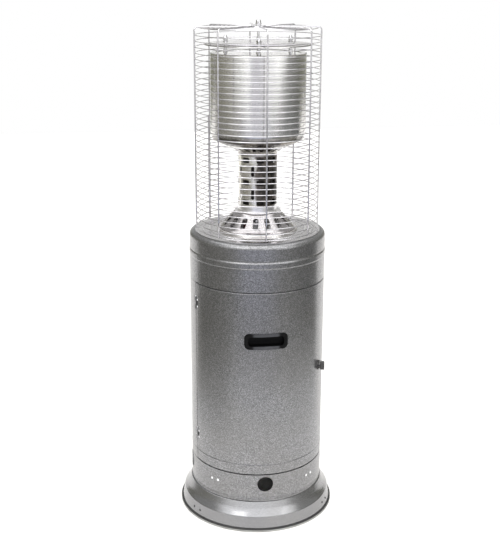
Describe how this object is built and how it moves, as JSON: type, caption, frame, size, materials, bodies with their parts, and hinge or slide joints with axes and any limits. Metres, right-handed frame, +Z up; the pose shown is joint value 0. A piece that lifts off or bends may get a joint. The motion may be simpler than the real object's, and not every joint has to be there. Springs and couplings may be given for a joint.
{
  "type": "outdoor gas heater",
  "caption": "Free-standing round gas patio heater with a hinged cylinder door, flared base, wire guard, slotted burner bell, flame screen, steel emitter drum and dished reflector.",
  "frame": {"origin": "on the floor, under the heater's upright axis", "axes": "+Z up along the round housing's axis; the cylinder door faces -Y; +X is to the right seen from the front"},
  "size_m": [0.4389, 0.439, 1.37],
  "materials": {
    "painted_steel": "hammertone grey paint, semi-gloss",
    "stainless": "brushed stainless steel, heat-tinted in use",
    "scorched_steel": "oxidised by the flame, matt",
    "bright_stainless": "polished stainless steel",
    "guard_wire": "bright plated wire",
    "fasteners": "bright plated",
    "dark_fasteners": "blackened",
    "inner_steel": "zinc-plated sheet",
    "hinge_steel": "painted grey",
    "black_plastic": "moulded, fine grain",
    "rubber": "matt",
    "brass": "machined",
    "aluminium": "die-cast",
    "ceramic": "glazed insulator",
    "lead": "silicone sleeve",
    "copper": "copper tube"
  },
  "bodies": {
    "frame": {"base_edging": "rubber", "base_flare": "painted_steel", "foot_brackets": "inner_steel", "rubber_feet": "rubber", "foot_rivets": "dark_fasteners", "lower_band": "painted_steel", "cylinder_platform": "inner_steel", "band_rivets": "fasteners", "side_panel": "painted_steel", "hinge_frame_leaves": "hinge_steel", "hinge_pins": "fasteners", "hinge_frame_rivets": "fasteners", "housing_ring": "inner_steel", "upper_housing": "painted_steel", "burner_deck": "inner_steel", "tilt_switch": "black_plastic", "control_panel": "black_plastic", "gas_valve": "aluminium", "piezo_igniter": "black_plastic", "gas_inlet": "brass", "feed_pipe": "copper", "gas_jet": "brass", "mixing_tube": "inner_steel", "burner_head": "stainless", "top_plate": "stainless", "bell_flange": "bright_stainless", "burner_bell": "bright_stainless", "pilot_bracket": "inner_steel", "ignition_electrode": "ceramic", "thermocouple": "copper", "ignition_lead": "lead", "thermocouple_lead": "copper", "screen_collar": "bright_stainless", "flame_screen": "bright_stainless", "flame_tube": "scorched_steel", "screen_cone": "stainless", "emitter_drum": "stainless", "drum_lid": "stainless", "drum_stays": "guard_wire", "reflector": "stainless", "reflector_posts": "fasteners", "post_nuts": "fasteners", "guard_panels": "guard_wire", "guard_top": "guard_wire", "top_washer": "fasteners", "centre_stud": "fasteners", "top_nut": "fasteners"},
    "door": {"door": "painted_steel", "door_handle": "black_plastic", "hinge_door_leaves": "hinge_steel", "hinge_door_rivets": "fasteners", "latch_rose": "fasteners", "latch_nut": "fasteners"},
    "latch": {"latch_knob": "fasteners", "latch_cam": "inner_steel"},
    "knob": {"control_knob": "black_plastic", "valve_shaft": "fasteners"},
    "igniter": {"igniter_button": "black_plastic"}
  },
  "joints": [
    {"name": "door_hinge", "type": "hinge", "parent": "frame", "child": "door", "pos_m": [-0.17587, -0.06056, 0.4315], "axis": [0, 0, -1], "range_deg": [0, 100]},
    {"name": "latch_turn", "type": "hinge", "parent": "door", "child": "latch", "pos_m": [0.16108, -0.093, 0.44], "axis": [0.866, -0.5, 0], "range_deg": [0, 90]},
    {"name": "knob_turn", "type": "hinge", "parent": "frame", "child": "knob", "pos_m": [0.02267, 0.18461, 0.715], "axis": [0.1219, 0.9925, 0], "range_deg": [0, 180]},
    {"name": "igniter_push", "type": "slide", "parent": "frame", "child": "igniter", "axis": [0.2079, -0.9781, 0], "range_m": [0, 0.005], "stiffness_N_per_m": 900, "springref_m": -0.001}
  ]
}
